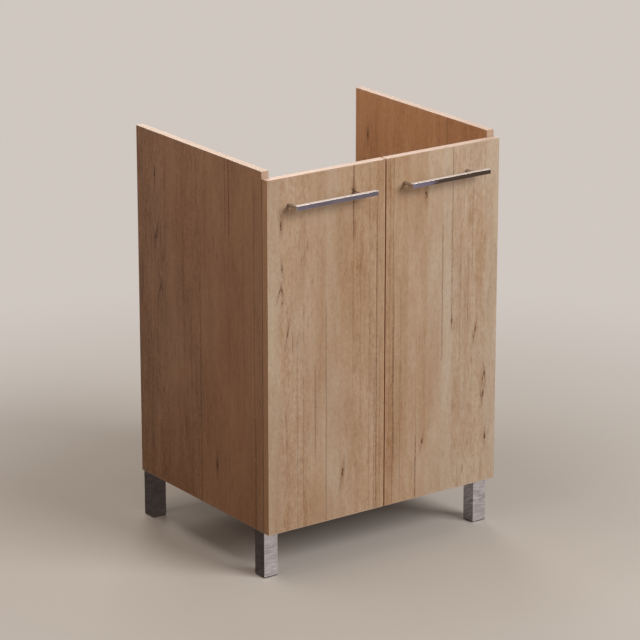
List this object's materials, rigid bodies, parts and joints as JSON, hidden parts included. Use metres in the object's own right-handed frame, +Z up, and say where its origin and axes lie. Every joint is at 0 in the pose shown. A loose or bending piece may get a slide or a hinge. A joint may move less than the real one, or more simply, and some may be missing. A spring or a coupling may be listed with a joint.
{
  "type": "sink base cabinet",
  "caption": "Open-topped sink base cabinet with two full-height overlay doors on concealed hinges, slim square bar handles and four square metal legs.",
  "frame": {"origin": "floor level, at the centre of the outline, handles included", "axes": "+Z up, +X to the right as seen from the front, the doors face -Y"},
  "size_m": [0.6, 0.527, 0.89],
  "materials": {
    "oak_decor": "knotty oak decor on chipboard, satin, grain upright",
    "chrome": "mirror polished",
    "nickel": "nickel plated pressed steel",
    "zinc": "zinc plated",
    "clear_rubber": "clear soft bumper",
    "black_nylon": "moulded nylon"
  },
  "bodies": {
    "cabinet": {"side_panel_left": "oak_decor", "side_panel_right": "oak_decor", "bottom_panel": "oak_decor", "front_rail": "oak_decor", "back_rail_upper": "oak_decor", "back_rail_lower": "oak_decor", "cam_fitting_bottom_front_left": "zinc", "cam_fitting_bottom_back_left": "zinc", "cam_fitting_front_rail_left": "zinc", "cam_fitting_back_rail_upper_left": "zinc", "cam_fitting_back_rail_lower_left": "zinc", "cam_fitting_bottom_front_right": "zinc", "cam_fitting_bottom_back_right": "zinc", "cam_fitting_front_rail_right": "zinc", "cam_fitting_back_rail_upper_right": "zinc", "cam_fitting_back_rail_lower_right": "zinc", "hinge_plate_left_upper": "nickel", "hinge_plate_left_lower": "nickel", "hinge_plate_right_upper": "nickel", "hinge_plate_right_lower": "nickel", "hinge_arm_left_upper": "nickel", "hinge_arm_left_lower": "nickel", "hinge_arm_right_upper": "nickel", "hinge_arm_right_lower": "nickel", "leg_front_left": "chrome", "leg_front_right": "chrome", "leg_back_left": "chrome", "leg_back_right": "chrome", "leg_plate_front_left": "zinc", "leg_plate_front_right": "zinc", "leg_plate_back_left": "zinc", "leg_plate_back_right": "zinc"},
    "left_hinge_links": {"hinge_link_left_upper": "nickel", "hinge_link_left_lower": "nickel"},
    "left_door": {"door_left": "oak_decor", "door_bumper_left_upper": "clear_rubber", "door_bumper_left_lower": "clear_rubber", "handle_bar_left": "chrome", "handle_post_left_left": "chrome", "handle_post_left_right": "chrome", "handle_screw_left_left": "zinc", "handle_screw_left_right": "zinc", "hinge_cup_left_upper": "nickel", "hinge_cup_left_lower": "nickel"},
    "right_hinge_links": {"hinge_link_right_upper": "nickel", "hinge_link_right_lower": "nickel"},
    "right_door": {"door_right": "oak_decor", "door_bumper_right_upper": "clear_rubber", "door_bumper_right_lower": "clear_rubber", "handle_bar_right": "chrome", "handle_post_right_left": "chrome", "handle_post_right_right": "chrome", "handle_screw_right_left": "zinc", "handle_screw_right_right": "zinc", "hinge_cup_right_upper": "nickel", "hinge_cup_right_lower": "nickel"},
    "foot_front_left": {"levelling_foot_front_left": "black_nylon"},
    "foot_front_right": {"levelling_foot_front_right": "black_nylon"},
    "foot_back_left": {"levelling_foot_back_left": "black_nylon"},
    "foot_back_right": {"levelling_foot_back_right": "black_nylon"}
  },
  "joints": [
    {"name": "left_links_swing", "type": "hinge", "parent": "cabinet", "child": "left_hinge_links", "pos_m": [-0.268, -0.2069, 0.47], "axis": [0, 0, 1], "range_deg": [0, 45]},
    {"name": "left_door_swing", "type": "hinge", "parent": "left_hinge_links", "child": "left_door", "pos_m": [-0.288, -0.2138, 0.47], "axis": [0, 0, -1], "range_deg": [0, 150]},
    {"name": "right_links_swing", "type": "hinge", "parent": "cabinet", "child": "right_hinge_links", "pos_m": [0.268, -0.2069, 0.47], "axis": [0, 0, -1], "range_deg": [0, 45]},
    {"name": "right_door_swing", "type": "hinge", "parent": "right_hinge_links", "child": "right_door", "pos_m": [0.288, -0.2138, 0.47], "axis": [0, 0, 1], "range_deg": [0, 150]},
    {"name": "foot_front_left_screw", "type": "slide", "parent": "cabinet", "child": "foot_front_left", "axis": [0, 0, -1], "range_m": [0, 0.012]},
    {"name": "foot_front_right_screw", "type": "slide", "parent": "cabinet", "child": "foot_front_right", "axis": [0, 0, -1], "range_m": [0, 0.012]},
    {"name": "foot_back_left_screw", "type": "slide", "parent": "cabinet", "child": "foot_back_left", "axis": [0, 0, -1], "range_m": [0, 0.012]},
    {"name": "foot_back_right_screw", "type": "slide", "parent": "cabinet", "child": "foot_back_right", "axis": [0, 0, -1], "range_m": [0, 0.012]}
  ],
  "couplings": [
    {"joint": "left_links_swing", "follows": "left_door_swing", "ratio": 0.3},
    {"joint": "right_links_swing", "follows": "right_door_swing", "ratio": 0.3}
  ]
}
